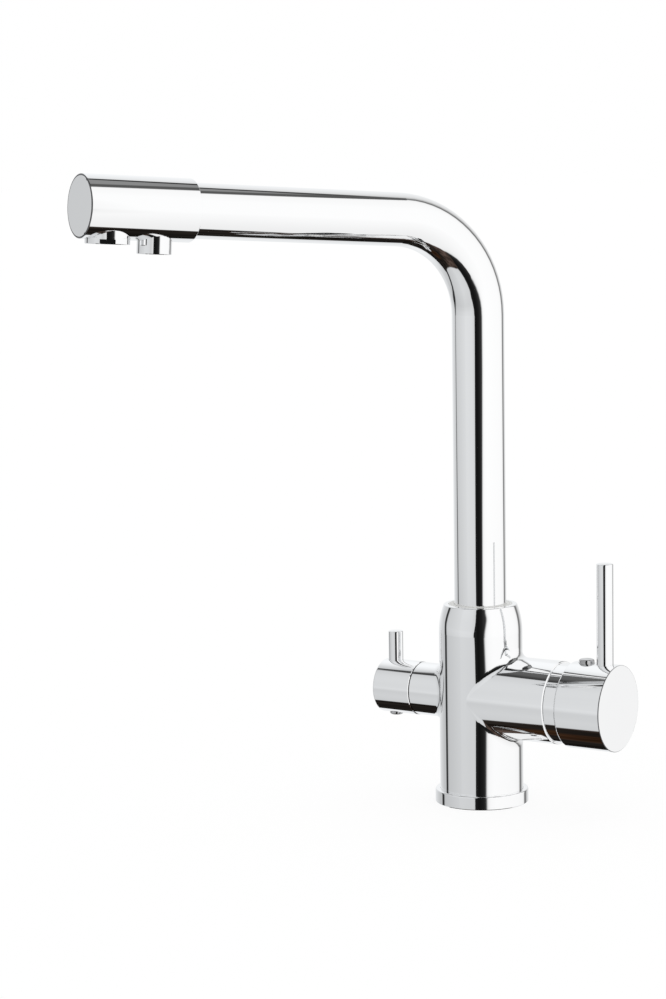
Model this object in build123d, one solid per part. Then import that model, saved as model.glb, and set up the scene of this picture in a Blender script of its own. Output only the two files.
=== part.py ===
from build123d import *
import math
import os

# A three way filtered water tap, in millimetres. +Z is up, and the origin is the centre of
# the foot's underside, where the tap stands on the worktop. The mixer handle points along
# +X and the filtered water knob along -X. -Y is the front.

# ---------------------------------------------------------------- driving sizes

# Clearances
seat_gap = 0.05            # pieces fastened together
run_gap = 0.06             # running fits
move_gap = 0.3             # between pieces that only pass each other
plug_sink = 0.7            # how deep a round plug's head sits in a curved wall
plug_gap = 0.2             # round a plug's head in its hole

# Spout
tube_radius = 14.0
tube_wall = 1.2
spout_height = 315.2       # tube axis where the bend ends
bend_radius = 51.4
spout_rise = 3.3           # degrees that the arm climbs
spout_turn = 240.85        # direction of the arm, degrees from +X
arm_length = 119.2         # from the bend to the joint with the head

# Mixer cartridge, the size that the housing is built round
cartridge_radius = 17.4
cartridge_length = 22.0    # base to shoulder
cartridge_wall = 2.2
cartridge_front_wall = 1.4
cartridge_base = 3.0
cartridge_slack = 0.2      # round the cartridge in its chamber
snout_radius = 14.6
snout_length = 5.6
snout_bore_radius = 10.0
inlet_port_side = 4.6      # hot and cold ports either side of the handle axis
inlet_port_rise = 7.2
mixed_port_drop = 3.6
port_radius = 2.6
disc_port_radius = 2.3
port_seal_section = 1.0
disc_thickness = 3.5
moving_disc_radius = 12.0
mixing_pocket_depth = 1.5
mixing_pocket_radius = 4.6
mixing_pocket_rise = 1.4
mixing_tail_drop = 4.4
slider_thickness = 4.4
slider_web = 0.4           # left under the pocket that the stem's ball moves
rotor_length = 5.6
rotor_snout_length = 4.6
rotor_slack = 0.24
rotor_slot_rise = 4.0
pivot_back = 3.9           # pivot pin behind the cartridge shoulder
pivot_pin_radius = 1.5
pivot_pin_length = 18.0
stem_width = 6.0
stem_heel = 2.0            # stem behind the pivot pin
stem_edge = 0.5
stem_ball_radius = 1.8
stem_ball_back = 5.5       # ball centre behind the pivot pin
stem_neck_radius = 0.9
lever_tilt = 25.0          # degrees that the mixer lever tips outward

# Cartridge nut and the cover ring round it
nut_thread = 2.0           # thread outside the chamber
nut_length = 7.6
nut_lead = 2.4             # housing thread behind the nut's seat
nut_bore_radius = 15.0
nut_nose_radius = 17.5
nut_nose_length = 2.3
nut_slot_width = 4.0
cover_wall = 1.7
cover_length = 6.9
cover_lip_thickness = 1.8
cover_mouth_radius = 12.2
cover_round = 0.4

# Swivel joint of the spout
swivel_wall = 2.44         # brass foot round the tube
swivel_floor_gap = 2.0     # under the swivel foot
swivel_tube_stop = 2.0     # ledge that the tube stands on
swivel_bearing_gap = 1.0   # between the swivel foot and the upper bearing
swivel_seal_section = 1.6
swivel_seal_inset = 4.0    # seal centre from either end of the swivel foot
bearing_depth = 7.2
bearing_flange = 0.9
bearing_flange_width = 0.8
stop_groove_width = 4.0
stop_groove_depth = 1.5
swivel_low = -81.0         # degrees from the modelled position
swivel_high = 139.0
stop_screw_radius = 2.5
stop_tip_radius = 1.7
stop_screw_length = 5.0
stop_screw_sink = 0.6

# Column, mixer housing and filter neck of the casting
body_height = 108.2
handle_height = 58.4       # height of the line that both handles turn about
socket_floor_rise = 15.8   # socket floor above that line
rim_wall = 2.4             # round the upper bearing
shoulder_length = 15.0     # rounded taper below the top rim
shoulder_inset = 2.8       # how far that taper draws the rim in
rim_round = 0.7
housing_wall = 2.6
housing_reach = 5.0        # housing past the cartridge shoulder
column_step = 0.3          # column wider than the housing
chamber_inset = 0.1        # chamber floor inside the column's surface
neck_wall = 2.3
neck_length = 37.4
neck_bore_depth = 6.4
junction_round = 5.0
neck_round = 4.0
mouth_chamfer = 0.3

# Base
base_ring_flange = 2.7     # base ring outside the column
base_ring_height = 7.3
base_ring_round = 0.8
base_ring_chamfer = 0.4
body_sink = 2.0            # how deep the column stands inside the base ring
foot_step = 4.5            # inlet block inside the column's surface
gasket_edge = 1.7          # metal left outside the gasket groove
gasket_width = 3.8
gasket_thickness = 1.2

# Inlets and studs in the inlet block under the column
inlet_block_roof = 2.0     # above the inlets
inlet_radius = 4.5         # M10 x 1 hose tail
inlet_depth = 14.0
inlet_circle = 11.5
inlet_turn = 60.0          # hot and cold stand this far either side of +X
stud_radius = 2.5          # M6 fixing stud
stud_depth = 10.0
stud_circle = 12.0
stud_turn = 120.0
way_radius = 3.2           # water ways inside the casting
way_bend_rise = 6.0        # filter way turns this far above its inlet
mixed_way_wall = 2.0       # between the mixed way and the socket's wall
way_join = 1.0             # how far a way runs into the space it feeds

# Filtered water hose inside the spout, and the spigot that it turns on
hose_radius = 4.0
hose_wall = 1.0
spigot_hole_radius = 5.0
spigot_hole_depth = 13.0
spigot_flange_radius = 6.5
spigot_flange_height = 1.7
spigot_barb_length = 10.0
spigot_wall = 0.7
spigot_seal_section = 1.1

# Head of the spout
head_wall = 2.0            # sleeve round the tube
head_length = 59.4
head_grip = 9.0            # tube length held inside the head
head_tube_stop = 1.0       # ledge that the tube stands against
head_edge = 0.3
head_end_round = 0.6
end_cap_inset = 0.7        # rim of the head round the end cap
end_cap_thickness = 1.2
end_cap_plug_inset = 0.5
end_cap_plug_length = 2.0

# Outlets, measured back from the head's end face and down from its axis
mixed_outlet_back = 15.4
mixed_boss_radius = 11.1
mixed_boss_inset = 1.0     # boss face above the lowest line of the head
aerator_radius = 11.3
aerator_height = 3.3
aerator_flats = 21.2       # across its two wrench flats
aerator_flat_height = 2.4
aerator_flat_turn = 68.0   # degrees from the arm to the flats' facing
aerator_thread_radius = 9.6
aerator_thread_length = 4.0
aerator_bore_radius = 8.4
aerator_recess = 0.5
aerator_cell = 1.5
aerator_cell_pitch = 2.1
aerator_cell_depth = 2.0
washer_thickness = 0.9
washer_lip = 1.0
filter_outlet_back = 40.8
filter_block_radius = 7.4
filter_block_rise = 6.0
nozzle_radius = 8.8
nozzle_seat_inset = 3.0    # seat above the lowest line of the head
nozzle_reach = 6.5         # nozzle below that line
nozzle_thread_radius = 6.4
nozzle_thread_length = 5.0
nozzle_bore_radius = 5.0
nozzle_recess = 0.5
nozzle_insert_length = 6.0
nozzle_hole_radius = 0.8
nozzle_hole_circle = 2.1
nozzle_hole_count = 6
nozzle_seal_section = 0.9
hose_grip = 0.2            # hose end past the wall of the filter block's bore

# Mixer handle
cap_gap = 0.5              # round the cover ring
cap_wall = 1.2
cap_length = 26.55
cap_front = 3.7
cap_edge = 0.4
cap_back_round = 1.0
hub_radius = 7.0
hub_inset = 5.35           # hub behind the cap's back rim
boss_radius = 6.2
lever_back = 7.85          # lever behind the cap's front face
lever_radius = 4.45
lever_top = 76.4           # above the handle axis
lever_foot = 12.0
lever_thread_radius = 3.0
lever_thread_foot = 4.5
lever_edge = 0.6
stem_lever_wall = 1.65     # between the stem's socket and the lever's thread
cap_plug_inset = 7.85      # plug in front of the cap's back rim
cap_plug_radius = 4.1
cap_plug_height = 1.9
cap_plug_round = 0.9
cap_plug_shank_radius = 3.5
grub_radius = 2.0
grub_length = 4.0
grub_key = 2.0             # across the flats of the hexagon socket
grub_key_depth = 1.6

# Filtered water valve
filter_floor_wall = 3.0    # between the valve chamber and the spigot's hole
filter_disc_radius = 8.0
filter_disc_thickness = 2.4
disc_hole_offset = 4.0
disc_hole_radius = 2.5
headwork_wall = 0.8
headwork_slack = 0.15
headwork_thread = 1.1      # thread outside the valve barrel
headwork_thread_length = 5.0
window_width = 9.0
window_length = 3.2
end_seal_thickness = 1.2
end_seal_bore_radius = 4.5
headwork_flange_radius = 11.7
headwork_flange_length = 2.5
headwork_hex = 17.0        # across flats
headwork_hex_length = 2.5
headwork_nose_radius = 5.8
headwork_nose_length = 4.0
spindle_radius = 4.2
spindle_drive_width = 6.0
spindle_drive_length = 4.0
spindle_drive_slack = 0.2
spindle_spline_radius = 3.8
spindle_seal_inset = 5.5   # seal past the end of the barrel's bore
spindle_seal_section = 0.9
clip_radius = 6.0
clip_thickness = 0.8
clip_groove_radius = 3.3
clip_mouth = 3.1
spindle_shoulder = 1.0     # full width of the spindle past the clip

# Filtered water knob
knob_length = 22.8
knob_step = 0.3            # knob wider than the neck
knob_cavity_wall = 1.9
knob_cavity_depth = 7.3
knob_front = 2.7
knob_edge = 0.8
filter_lever_back = 6.5    # lever behind the knob's front face
filter_lever_radius = 4.05
filter_lever_top = 30.6
filter_lever_foot = 7.0
filter_lever_thread_radius = 2.5
filter_lever_edge = 0.6
knob_plug_radius = 3.7
knob_plug_height = 1.3
knob_plug_round = 1.0
knob_plug_shank_radius = 3.1
knob_plug_shank_length = 2.2

# ---------------------------------------------------------------- worked out sizes

# radii that follow from what fits inside
socket_radius = tube_radius + swivel_wall + run_gap
rim_radius = socket_radius + bearing_flange_width + rim_wall
chamber_radius = cartridge_radius + cartridge_slack
cavity_radius = cartridge_radius - cartridge_wall
nut_radius = chamber_radius + nut_thread
housing_radius = nut_radius + housing_wall
body_radius = max(housing_radius + column_step, rim_radius + shoulder_inset)
base_ring_radius = body_radius + base_ring_flange
foot_radius = body_radius - foot_step
cover_radius = nut_radius + cover_wall
cap_radius = cover_radius + cap_gap + cap_wall
headwork_radius = filter_disc_radius + seat_gap + headwork_wall
filter_chamber_radius = headwork_radius + headwork_slack
filter_thread_radius = headwork_radius + headwork_thread
neck_bore_radius = headwork_flange_radius + move_gap
neck_radius = neck_bore_radius + neck_wall
knob_radius = neck_radius + knob_step
head_radius = tube_radius + head_wall
head_chamber_radius = tube_radius - head_tube_stop
end_cap_radius = head_radius - end_cap_inset
end_cap_plug_radius = head_chamber_radius - end_cap_plug_inset

# column and swivel, upwards
body_seat = base_ring_height - body_sink
socket_floor = handle_height + socket_floor_rise
spigot_hole_floor = socket_floor - spigot_hole_depth
bearing_bottom = body_height - bearing_depth
swivel_foot_bottom = socket_floor + swivel_floor_gap
swivel_foot_top = bearing_bottom - swivel_bearing_gap
stop_height = (swivel_foot_bottom + swivel_foot_top) / 2.0
stop_floor_radius = socket_radius - stop_groove_depth

# spout, along its axis
bend_start = spout_height - bend_radius * math.cos(math.radians(spout_rise))
bend_angle = 90.0 - spout_rise
bend_reach = bend_radius * (1.0 - math.sin(math.radians(spout_rise)))
head_end = arm_length + head_length
tube_end = arm_length + head_grip
head_chamber_end = head_end - end_cap_thickness - end_cap_plug_length
mixed_outlet = head_end - mixed_outlet_back
filter_outlet = head_end - filter_outlet_back
mixed_boss_drop = head_radius - mixed_boss_inset
aerator_drop = mixed_boss_drop + aerator_height
nozzle_seat_drop = head_radius - nozzle_seat_inset
nozzle_drop = head_radius + nozzle_reach

# inlets
inlet_block_top = inlet_depth + inlet_block_roof
inlet_x = inlet_circle * math.cos(math.radians(inlet_turn))
inlet_y = inlet_circle * math.sin(math.radians(inlet_turn))

# mixer, outwards along +X
cartridge_floor = body_radius - chamber_inset
cartridge_start = cartridge_floor + seat_gap
cartridge_shoulder = cartridge_floor + cartridge_length
cartridge_front = cartridge_shoulder - cartridge_front_wall
fixed_disc_start = cartridge_start + cartridge_base + seat_gap
moving_disc_start = fixed_disc_start + disc_thickness + run_gap
slider_start = moving_disc_start + disc_thickness + seat_gap
rotor_end = cartridge_front - 2.0 * run_gap
pivot_x = cartridge_shoulder - pivot_back
housing_length = cartridge_shoulder + housing_reach
nut_seat = cartridge_shoulder + seat_gap
nut_end = nut_seat + nut_length
cover_start = housing_length + seat_gap
cover_end = cover_start + cover_length
cap_start = cover_end + move_gap
cap_end = cap_start + cap_length
cap_cavity_end = cap_end - cap_front
hub_back = cap_start + hub_inset
lever_position = cap_end - lever_back
cap_plug_position = cap_start + cap_plug_inset
stem_end = lever_position - lever_thread_radius - stem_lever_wall - move_gap

# filtered water valve, outwards along -X
filter_floor = spigot_hole_radius + filter_floor_wall
headwork_start = filter_floor + end_seal_thickness + 2.0 * seat_gap
filter_moving_start = headwork_start + filter_disc_thickness + run_gap
drive_start = filter_moving_start + filter_disc_thickness + seat_gap
drive_end = drive_start + spindle_drive_length
headwork_bore_end = drive_end + run_gap
filter_thread_end = neck_length - neck_bore_depth
filter_chamber_end = filter_thread_end - headwork_thread_length
headwork_flange_end = filter_thread_end + headwork_flange_length
headwork_hex_end = headwork_flange_end + headwork_hex_length
headwork_nose_end = headwork_hex_end + headwork_nose_length
clip_start = headwork_nose_end + run_gap
clip_end = clip_start + clip_thickness
spindle_seal_position = headwork_bore_end + spindle_seal_inset
knob_start = neck_length + move_gap
knob_end = knob_start + knob_length
knob_cavity_end = knob_start + knob_cavity_depth
knob_cavity_radius = knob_radius - knob_cavity_wall
spindle_end = knob_end - knob_front
filter_lever_position = knob_end - filter_lever_back


# ---------------------------------------------------------------- simple solids

def post(radius, bottom, top, x=0.0, y=0.0):
    """A round bar along +Z."""
    solid = Cylinder(radius, top - bottom, align=(Align.CENTER, Align.CENTER, Align.MIN))
    return Pos(x, y, bottom) * solid


def bar(radius, start, end, y=0.0, z=0.0):
    """A round bar along the handle axis, between two places on it."""
    low = min(start, end)
    solid = Cylinder(radius, abs(end - start), align=(Align.CENTER, Align.CENTER, Align.MIN))
    return Pos(low, y, handle_height + z) * Rot(0, 90, 0) * solid


def strut(radius, start, end):
    """A round bar between two points."""
    line = Vector(*end) - Vector(*start)
    solid = Cylinder(radius, line.length, align=(Align.CENTER, Align.CENTER, Align.MIN))
    return Plane(origin=start, z_dir=line) * solid


def block(x_range, y_range, z_range):
    """A box between the given limits."""
    size = [high - low for low, high in (x_range, y_range, z_range)]
    centre = [(high + low) / 2.0 for low, high in (x_range, y_range, z_range)]
    return Pos(*centre) * Box(*size)


def hexagon(across_flats, bottom, top):
    """A hexagon bar along +Z."""
    sketch = RegularPolygon(across_flats / math.sqrt(3.0), 6)
    return Pos(0, 0, bottom) * extrude(sketch, top - bottom)


def ring_groove(outer, floor, middle, width):
    """The ring that a groove takes out of a round piece about Z."""
    bottom = middle - width / 2.0
    return post(outer, bottom, bottom + width) - post(floor, bottom, bottom + width)


def round_seal(bore, section):
    """A round seal ring about Z that fills a bore."""
    return Torus(bore - seat_gap - section / 2.0, section / 2.0)


def circles_at(solid, axis, value):
    """The round edges of a solid that lie in one plane across an axis."""
    round_edges = solid.edges().filter_by(GeomType.CIRCLE)
    return round_edges.filter_by_position(axis, value - 0.001, value + 0.001)


def widest(edges):
    """The largest round edge of a list."""
    return sorted(edges, key=lambda edge: edge.radius)[-1:]


def junctions(solid, side):
    """The curved edges where a branch meets the column, on the side given by +1 or -1."""
    edges = solid.edges().filter_by(lambda e: e.geom_type not in (GeomType.LINE, GeomType.CIRCLE))
    return edges.filter_by(lambda e: e.center().X * side > 0.0)


def about_handle_axis(solid, x):
    """Lays a solid that was made about Z along the handle axis."""
    return Pos(x, 0, handle_height) * Rot(0, 90, 0) * solid


def turned_about_handles(solid, angle):
    """Turns a solid about the handle axis."""
    return Pos(0, 0, handle_height) * Rot(angle, 0, 0) * Pos(0, 0, -handle_height) * solid


# ---------------------------------------------------------------- base

def make_base_ring():
    ring = post(base_ring_radius, 0.0, base_ring_height)
    ring = fillet(circles_at(ring, Axis.Z, base_ring_height), base_ring_round)
    ring = chamfer(circles_at(ring, Axis.Z, 0.0), base_ring_chamfer)
    ring -= post(foot_radius + seat_gap, 0.0, base_ring_height)
    ring -= post(body_radius + seat_gap, body_seat, base_ring_height)
    outer = base_ring_radius - gasket_edge
    return ring - ring_groove(outer, outer - gasket_width, gasket_thickness / 2.0, gasket_thickness)


def make_seat_gasket():
    outer = base_ring_radius - gasket_edge - seat_gap
    inner = base_ring_radius - gasket_edge - gasket_width + seat_gap
    return post(outer, 0.0, gasket_thickness - seat_gap) - post(inner, 0.0, gasket_thickness)


# ---------------------------------------------------------------- casting

def shoulder_waste():
    """What the rounded taper takes off the column's top."""
    shoulder = body_height - shoulder_length
    outside = body_radius + housing_radius
    with BuildPart() as waste:
        with BuildSketch(Plane.XZ):
            with BuildLine():
                Line((body_radius, shoulder), (outside, shoulder))
                Line((outside, shoulder), (outside, body_height))
                Line((outside, body_height), (rim_radius, body_height))
                TangentArc((body_radius, shoulder), (rim_radius, body_height), tangent=(0, 1))
            make_face()
        revolve(axis=Axis.Z)
    return waste.part


def way_bend(x, y, z):
    return Pos(x, y, z) * Sphere(way_radius)


def water_ways():
    """The cast passages from the three inlets to the valves and on to the spout."""
    port_height = handle_height + inlet_port_rise
    ways = bar(way_radius, 0.0, -filter_floor - way_join)
    ways += way_bend(0.0, 0.0, handle_height)
    ways += post(way_radius, handle_height, spigot_hole_floor + way_join)
    for side in (1.0, -1.0):
        corner = (inlet_x, side * inlet_y, port_height)
        port = (cartridge_floor + way_join, side * inlet_port_side, port_height)
        ways += post(way_radius, inlet_depth - way_join, port_height, inlet_x, side * inlet_y)
        ways += way_bend(*corner)
        ways += strut(way_radius, corner, port)
    mixed_x = socket_radius - way_radius - mixed_way_wall
    mixed_height = handle_height - mixed_port_drop
    ways += bar(way_radius, mixed_x, cartridge_floor + way_join, 0.0, -mixed_port_drop)
    ways += way_bend(mixed_x, 0.0, mixed_height)
    ways += post(way_radius, mixed_height, socket_floor + way_join, mixed_x)
    knee = (-inlet_circle, 0.0, inlet_depth + way_bend_rise)
    window_x = -headwork_bore_end + window_length / 2.0
    ways += post(way_radius, inlet_depth - way_join, knee[2], -inlet_circle)
    ways += way_bend(*knee)
    return ways + strut(way_radius, knee, (window_x, 0.0, handle_height - filter_disc_radius))


def make_tap_body():
    body = post(body_radius, body_seat, body_height)
    body += bar(housing_radius, 0.0, housing_length)
    body = fillet(junctions(body, 1.0), junction_round)
    body += bar(neck_radius, 0.0, -neck_length)
    body = fillet(junctions(body, -1.0), neck_round)
    body -= shoulder_waste()
    body = fillet(widest(circles_at(body, Axis.Z, body_height)), rim_round)
    body = chamfer(widest(circles_at(body, Axis.X, housing_length)), mouth_chamfer)
    body = chamfer(widest(circles_at(body, Axis.X, -neck_length)), mouth_chamfer)
    # pocket for the inlet block
    body -= post(foot_radius + seat_gap, body_seat, inlet_block_top + seat_gap)
    # swivel socket, with the seat of the bearing's flange and the hole for the spigot
    body -= post(socket_radius, socket_floor, body_height)
    body -= post(socket_radius + bearing_flange_width, body_height - bearing_flange, body_height)
    body -= post(spigot_hole_radius, spigot_hole_floor, socket_floor)
    # mixer chamber and the nut's thread
    body -= bar(chamber_radius, cartridge_floor, housing_length)
    body -= bar(nut_radius, nut_seat - nut_lead, housing_length)
    # filter valve chamber, its thread and the mouth round the flange
    body -= bar(filter_chamber_radius, -filter_floor, -neck_length)
    body -= bar(filter_thread_radius, -filter_chamber_end, -neck_length)
    body -= bar(neck_bore_radius, -filter_thread_end, -neck_length)
    body -= water_ways()
    # thread at the back for the screw that holds the spout
    inside = (0.0, stop_floor_radius, stop_height)
    outside = (0.0, body_radius + stop_screw_radius, stop_height)
    return body - strut(stop_screw_radius, inside, outside)


def make_inlet_block():
    block_solid = post(foot_radius, 0.0, inlet_block_top)
    for x, y in ((inlet_x, inlet_y), (inlet_x, -inlet_y), (-inlet_circle, 0.0)):
        block_solid -= post(inlet_radius, 0.0, inlet_depth, x, y)
    for turn in (stud_turn, -stud_turn):
        x = stud_circle * math.cos(math.radians(turn))
        y = stud_circle * math.sin(math.radians(turn))
        block_solid -= post(stud_radius, 0.0, stud_depth, x, y)
    return block_solid - water_ways()


def make_upper_bearing():
    flange_bottom = body_height - bearing_flange + seat_gap
    flange_radius = socket_radius + bearing_flange_width - seat_gap
    sleeve = post(socket_radius - seat_gap, bearing_bottom, body_height)
    sleeve += post(flange_radius, flange_bottom, body_height)
    return sleeve - post(tube_radius + run_gap, bearing_bottom, body_height)


def make_retaining_screw():
    outer = body_radius - stop_screw_sink
    inner = outer - stop_screw_length
    screw = post(stop_screw_radius - seat_gap, inner, outer)
    screw += post(stop_tip_radius, stop_floor_radius + move_gap / 2.0, inner)
    screw -= hexagon(stop_screw_radius, outer - stop_screw_radius, outer)
    return Pos(0, 0, stop_height) * Rot(-90, 0, 0) * screw


# ---------------------------------------------------------------- spout
# Spout pieces are made with the arm over +X, and turned to its direction at the end.

def turned(solid):
    return Rot(0, 0, spout_turn) * solid


def along_arm(solid):
    """Places a solid that was made along +X, from the end of the bend, on the arm."""
    return Pos(bend_reach, 0, spout_height) * Rot(0, -spout_rise, 0) * solid


def arm_bar(radius, start, end):
    solid = Cylinder(radius, end - start, align=(Align.CENTER, Align.CENTER, Align.MIN))
    return Pos(start, 0, 0) * Rot(0, 90, 0) * solid


def drop_bar(radius, position, high, low):
    """A round bar across the arm, given by its drops below the arm's axis."""
    return post(radius, -low, -high, position)


def bent_pipe(outer, inner, bottom, end):
    """A pipe up the column, round the bend and out along the arm."""
    upright = post(outer, bottom, bend_start) - post(inner, bottom, bend_start)
    section = Pos(0, 0, bend_start) * (Circle(outer) - Circle(inner))
    bend_axis = Axis((bend_radius, 0, bend_start), (0, 1, 0))
    bend = revolve(section, bend_axis, bend_angle)
    arm = along_arm(arm_bar(outer, 0.0, end) - arm_bar(inner, 0.0, end))
    return upright + bend + arm


def make_spout_tube():
    bottom = swivel_foot_bottom + swivel_tube_stop
    return turned(bent_pipe(tube_radius, tube_radius - tube_wall, bottom, tube_end - seat_gap))


def swivel_seal_heights():
    return (swivel_foot_bottom + swivel_seal_inset, swivel_foot_top - swivel_seal_inset)


def stop_groove():
    """The groove that the retaining screw's tip runs in. Its ends stop the spout."""
    groove = ring_groove(socket_radius, stop_floor_radius, stop_height, stop_groove_width)
    spare = math.degrees((stop_tip_radius + move_gap / 2.0) / stop_floor_radius)
    start = 90.0 - spout_turn - swivel_high - spare
    sweep = swivel_high - swivel_low + 2.0 * spare
    corner_count = 8
    corners = [(0.0, 0.0)]
    for step in range(corner_count + 1):
        angle = math.radians(start + sweep * step / corner_count)
        corners.append((2.0 * socket_radius * math.cos(angle), 2.0 * socket_radius * math.sin(angle)))
    sector = make_face(Polyline(*corners, close=True))
    bottom = stop_height - stop_groove_width / 2.0
    return groove & (Pos(0, 0, bottom) * extrude(sector, stop_groove_width))


def make_swivel_foot():
    outer = socket_radius - run_gap
    tube_seat = swivel_foot_bottom + swivel_tube_stop - seat_gap
    foot = post(outer, swivel_foot_bottom, swivel_foot_top)
    foot -= post(tube_radius + seat_gap, tube_seat, swivel_foot_top)
    foot -= post(tube_radius - tube_wall, swivel_foot_bottom, swivel_foot_top)
    floor = socket_radius - swivel_seal_section - 2.0 * seat_gap
    for height in swivel_seal_heights():
        foot -= ring_groove(outer, floor, height, swivel_seal_section + 2.0 * seat_gap)
    return turned(foot - stop_groove())


def make_swivel_seals():
    rings = [
        Pos(0, 0, height) * round_seal(socket_radius, swivel_seal_section)
        for height in swivel_seal_heights()
    ]
    return Compound(children=rings)


def spigot_seal_height():
    return (spigot_hole_floor + socket_floor) / 2.0


def make_filter_spigot():
    outer = spigot_hole_radius - run_gap
    bottom = spigot_hole_floor + move_gap
    flange_bottom = socket_floor + move_gap
    flange_top = flange_bottom + spigot_flange_height
    barb_top = flange_top + spigot_barb_length
    barb_radius = hose_radius - hose_wall - seat_gap
    spigot = post(outer, bottom, flange_bottom)
    spigot += post(spigot_flange_radius, flange_bottom, flange_top)
    spigot += post(barb_radius, flange_top, barb_top)
    spigot -= post(barb_radius - spigot_wall, bottom, barb_top)
    floor = spigot_hole_radius - spigot_seal_section - 2.0 * seat_gap
    width = spigot_seal_section + 2.0 * seat_gap
    return spigot - ring_groove(outer, floor, spigot_seal_height(), width)


def make_spigot_seal():
    return Pos(0, 0, spigot_seal_height()) * round_seal(spigot_hole_radius, spigot_seal_section)


def make_filter_hose():
    bottom = socket_floor + move_gap + spigot_flange_height + seat_gap
    end = filter_outlet - nozzle_bore_radius + hose_grip
    return turned(bent_pipe(hose_radius, hose_radius - hose_wall, bottom, end))


def make_spout_head():
    below = 2.0 * head_radius
    head = arm_bar(head_radius, arm_length, head_end)
    head = fillet(circles_at(head, Axis.X, head_end), head_end_round)
    head = chamfer(circles_at(head, Axis.X, arm_length), head_edge)
    head += drop_bar(mixed_boss_radius, mixed_outlet, 0.0, mixed_boss_drop)
    head -= drop_bar(aerator_radius + seat_gap, mixed_outlet, mixed_boss_drop, below)
    head -= arm_bar(tube_radius + seat_gap, arm_length, tube_end)
    head -= arm_bar(end_cap_radius + seat_gap, head_end - end_cap_thickness, head_end)
    head -= arm_bar(end_cap_plug_radius + seat_gap, head_chamber_end, head_end)
    chamber = arm_bar(head_chamber_radius, tube_end, head_chamber_end)
    chamber -= drop_bar(filter_block_radius, filter_outlet, -filter_block_rise, head_radius)
    head -= chamber
    head -= drop_bar(aerator_thread_radius, mixed_outlet, 0.0, mixed_boss_drop)
    head -= drop_bar(nozzle_radius + seat_gap, filter_outlet, nozzle_seat_drop, below)
    thread_top = nozzle_seat_drop - nozzle_thread_length
    head -= drop_bar(nozzle_thread_radius, filter_outlet, thread_top, nozzle_seat_drop)
    head -= drop_bar(nozzle_bore_radius, filter_outlet, -hose_radius, nozzle_seat_drop)
    head -= arm_bar(hose_radius + seat_gap, tube_end, filter_outlet)
    return turned(along_arm(head))


def make_head_end_cap():
    disc_start = head_end - end_cap_thickness + seat_gap
    disc = arm_bar(end_cap_radius, disc_start, head_end)
    disc = chamfer(circles_at(disc, Axis.X, head_end), head_edge)
    disc += arm_bar(end_cap_plug_radius, disc_start - end_cap_plug_length, disc_start)
    return turned(along_arm(disc))


def wrench_flats():
    """What the two flats for a wrench take off the aerator ring."""
    flat = aerator_flats / 2.0
    across = (-aerator_radius, aerator_radius)
    heights = (-aerator_drop, aerator_flat_height - aerator_drop)
    waste = block((flat, aerator_radius), across, heights)
    waste += block((-aerator_radius, -flat), across, heights)
    return Pos(mixed_outlet, 0, 0) * Rot(0, 0, aerator_flat_turn) * waste


def make_aerator_ring():
    top = mixed_boss_drop + seat_gap
    ring = drop_bar(aerator_radius, mixed_outlet, top, aerator_drop)
    ring = chamfer(circles_at(ring, Axis.Z, -aerator_drop), head_edge)
    thread_radius = aerator_thread_radius - seat_gap
    ring += drop_bar(thread_radius, mixed_outlet, top - aerator_thread_length, top)
    ring -= drop_bar(aerator_bore_radius, mixed_outlet, 0.0, aerator_drop)
    return turned(along_arm(ring - wrench_flats()))


def make_aerator_washer():
    low = mixed_boss_drop - aerator_thread_length
    high = low - washer_thickness
    washer = drop_bar(aerator_thread_radius - seat_gap, mixed_outlet, high, low)
    washer -= drop_bar(aerator_bore_radius - washer_lip, mixed_outlet, high, low)
    return turned(along_arm(washer))


def make_aerator_insert():
    top = mixed_boss_drop - aerator_thread_length + seat_gap
    bottom = aerator_drop - aerator_recess
    insert = drop_bar(aerator_bore_radius - seat_gap, mixed_outlet, top, bottom)
    reach = int(aerator_bore_radius / aerator_cell_pitch)
    half = aerator_cell / 2.0
    cells = []
    for row in range(-reach, reach + 1):
        for column in range(-reach, reach + 1):
            x = column * aerator_cell_pitch
            y = row * aerator_cell_pitch
            if math.hypot(x, y) + aerator_cell < aerator_bore_radius:
                middle = mixed_outlet + x
                sides = ((middle - half, middle + half), (y - half, y + half))
                cells.append(block(*sides, (-bottom, -bottom + aerator_cell_depth)))
    return turned(along_arm(insert - cells))


def make_filter_nozzle():
    top = nozzle_seat_drop + seat_gap
    thread_top = nozzle_seat_drop - nozzle_thread_length + nozzle_seal_section + 2.0 * seat_gap
    nozzle = drop_bar(nozzle_radius, filter_outlet, top, nozzle_drop)
    nozzle = chamfer(circles_at(nozzle, Axis.Z, -nozzle_drop), head_edge)
    nozzle += drop_bar(nozzle_thread_radius - seat_gap, filter_outlet, thread_top, top)
    nozzle -= drop_bar(nozzle_bore_radius, filter_outlet, 0.0, nozzle_drop)
    return turned(along_arm(nozzle))


def make_nozzle_seal():
    drop = nozzle_seat_drop - nozzle_thread_length + nozzle_seal_section / 2.0 + seat_gap
    ring = round_seal(nozzle_thread_radius, nozzle_seal_section)
    return turned(along_arm(Pos(filter_outlet, 0, -drop) * ring))


def make_nozzle_insert():
    low = nozzle_drop - nozzle_recess
    high = low - nozzle_insert_length
    insert = drop_bar(nozzle_bore_radius - seat_gap, filter_outlet, high, low)
    holes = [drop_bar(nozzle_hole_radius, filter_outlet, high, low)]
    for step in range(nozzle_hole_count):
        angle = 2.0 * math.pi * step / nozzle_hole_count
        x = filter_outlet + nozzle_hole_circle * math.cos(angle)
        y = nozzle_hole_circle * math.sin(angle)
        holes.append(post(nozzle_hole_radius, -low, -high, x, y))
    return turned(along_arm(insert - holes))


# ---------------------------------------------------------------- mixer cartridge

def port_places():
    """Hot, cold and mixed ports, as distances across and above the handle axis."""
    return (
        (inlet_port_side, inlet_port_rise),
        (-inlet_port_side, inlet_port_rise),
        (0.0, -mixed_port_drop),
    )


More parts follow.
